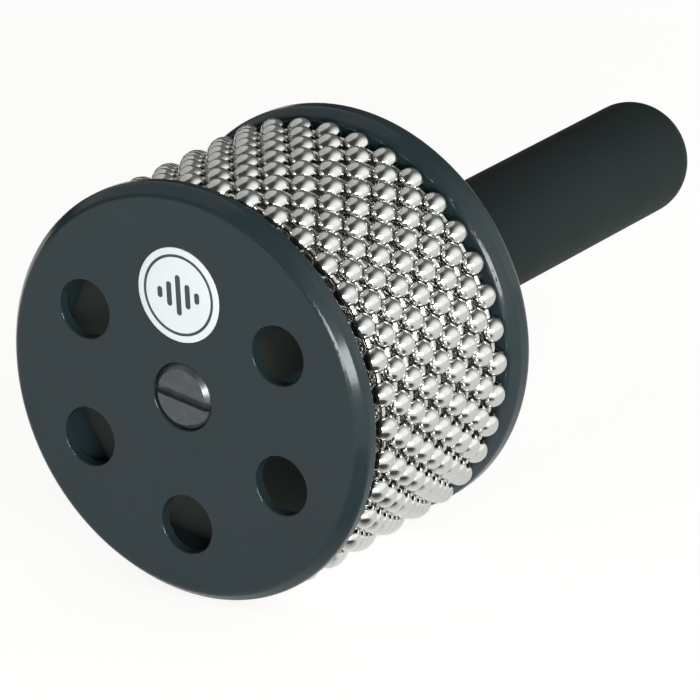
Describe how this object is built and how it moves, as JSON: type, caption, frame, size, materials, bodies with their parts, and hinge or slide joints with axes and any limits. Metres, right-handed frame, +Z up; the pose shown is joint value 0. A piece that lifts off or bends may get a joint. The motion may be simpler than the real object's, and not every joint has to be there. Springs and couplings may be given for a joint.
{
  "type": "cabasa",
  "caption": "Hand cabasa: loops of steel ball chain ride loosely on an embossed steel drum between two black discs, with sound holes, a slotted tie screw and a round grip.",
  "frame": {"origin": "under the middle of the whole object, on the surface that the two disc rims lie on", "axes": "+Z up from that surface, +Y along the drum axis from the front disc to the grip, +X to the right as seen from the front disc"},
  "size_m": [0.0888, 0.1758, 0.0889],
  "materials": {
    "disc_plastic": "satin black moulded",
    "grip_plastic": "fine satin black",
    "core_plastic": "black moulded, unseen",
    "spacer_plastic": "black moulded",
    "badge_print": "printed label with a plain ring pattern",
    "screw_steel": "dark blackened steel",
    "washer_steel": "zinc plated",
    "sleeve_steel": "embossed bright steel",
    "chain_nickel": "polished nickel plate",
    "link_nickel": "nickel-plated wire",
    "insert_brass": "turned brass"
  },
  "bodies": {
    "drum": {"front_disc": "disc_plastic", "badge": "badge_print", "tie_screw": "screw_steel", "front_washer": "washer_steel", "spacer_tube": "spacer_plastic", "drum_core": "core_plastic", "steel_sleeve": "sleeve_steel", "rear_disc": "disc_plastic", "rear_washer": "washer_steel", "grip": "grip_plastic", "grip_plug": "core_plastic", "threaded_insert": "insert_brass"},
    "loop_1": {"chain_1_balls": "chain_nickel", "chain_1_links": "link_nickel"},
    "loop_2": {"chain_2_balls": "chain_nickel", "chain_2_links": "link_nickel"},
    "loop_3": {"chain_3_balls": "chain_nickel", "chain_3_links": "link_nickel"},
    "loop_4": {"chain_4_balls": "chain_nickel", "chain_4_links": "link_nickel"},
    "loop_5": {"chain_5_balls": "chain_nickel", "chain_5_links": "link_nickel"},
    "loop_6": {"chain_6_balls": "chain_nickel", "chain_6_links": "link_nickel"},
    "loop_7": {"chain_7_balls": "chain_nickel", "chain_7_links": "link_nickel"},
    "loop_8": {"chain_8_balls": "chain_nickel", "chain_8_links": "link_nickel"},
    "loop_9": {"chain_9_balls": "chain_nickel", "chain_9_links": "link_nickel"}
  },
  "joints": [
    {"name": "loop_1_spin", "type": "hinge", "parent": "drum", "child": "loop_1", "pos_m": [0, -0.07626, 0.04445], "axis": [0, 1, 0], "continuous": true},
    {"name": "loop_2_spin", "type": "hinge", "parent": "drum", "child": "loop_2", "pos_m": [0, -0.07142, 0.04445], "axis": [0, 1, 0], "continuous": true},
    {"name": "loop_3_spin", "type": "hinge", "parent": "drum", "child": "loop_3", "pos_m": [0, -0.06657, 0.04445], "axis": [0, 1, 0], "continuous": true},
    {"name": "loop_4_spin", "type": "hinge", "parent": "drum", "child": "loop_4", "pos_m": [0, -0.06173, 0.04445], "axis": [0, 1, 0], "continuous": true},
    {"name": "loop_5_spin", "type": "hinge", "parent": "drum", "child": "loop_5", "pos_m": [0, -0.0569, 0.04445], "axis": [0, 1, 0], "continuous": true},
    {"name": "loop_6_spin", "type": "hinge", "parent": "drum", "child": "loop_6", "pos_m": [0, -0.05205, 0.04445], "axis": [0, 1, 0], "continuous": true},
    {"name": "loop_7_spin", "type": "hinge", "parent": "drum", "child": "loop_7", "pos_m": [0, -0.04722, 0.04445], "axis": [0, 1, 0], "continuous": true},
    {"name": "loop_8_spin", "type": "hinge", "parent": "drum", "child": "loop_8", "pos_m": [0, -0.04238, 0.04445], "axis": [0, 1, 0], "continuous": true},
    {"name": "loop_9_spin", "type": "hinge", "parent": "drum", "child": "loop_9", "pos_m": [0, -0.03753, 0.04445], "axis": [0, 1, 0], "continuous": true}
  ],
  "couplings": [
    {"joint": "loop_2_spin", "follows": "loop_1_spin", "ratio": 1},
    {"joint": "loop_3_spin", "follows": "loop_1_spin", "ratio": 1},
    {"joint": "loop_4_spin", "follows": "loop_1_spin", "ratio": 1},
    {"joint": "loop_5_spin", "follows": "loop_1_spin", "ratio": 1},
    {"joint": "loop_6_spin", "follows": "loop_1_spin", "ratio": 1},
    {"joint": "loop_7_spin", "follows": "loop_1_spin", "ratio": 1},
    {"joint": "loop_8_spin", "follows": "loop_1_spin", "ratio": 1},
    {"joint": "loop_9_spin", "follows": "loop_1_spin", "ratio": 1}
  ]
}
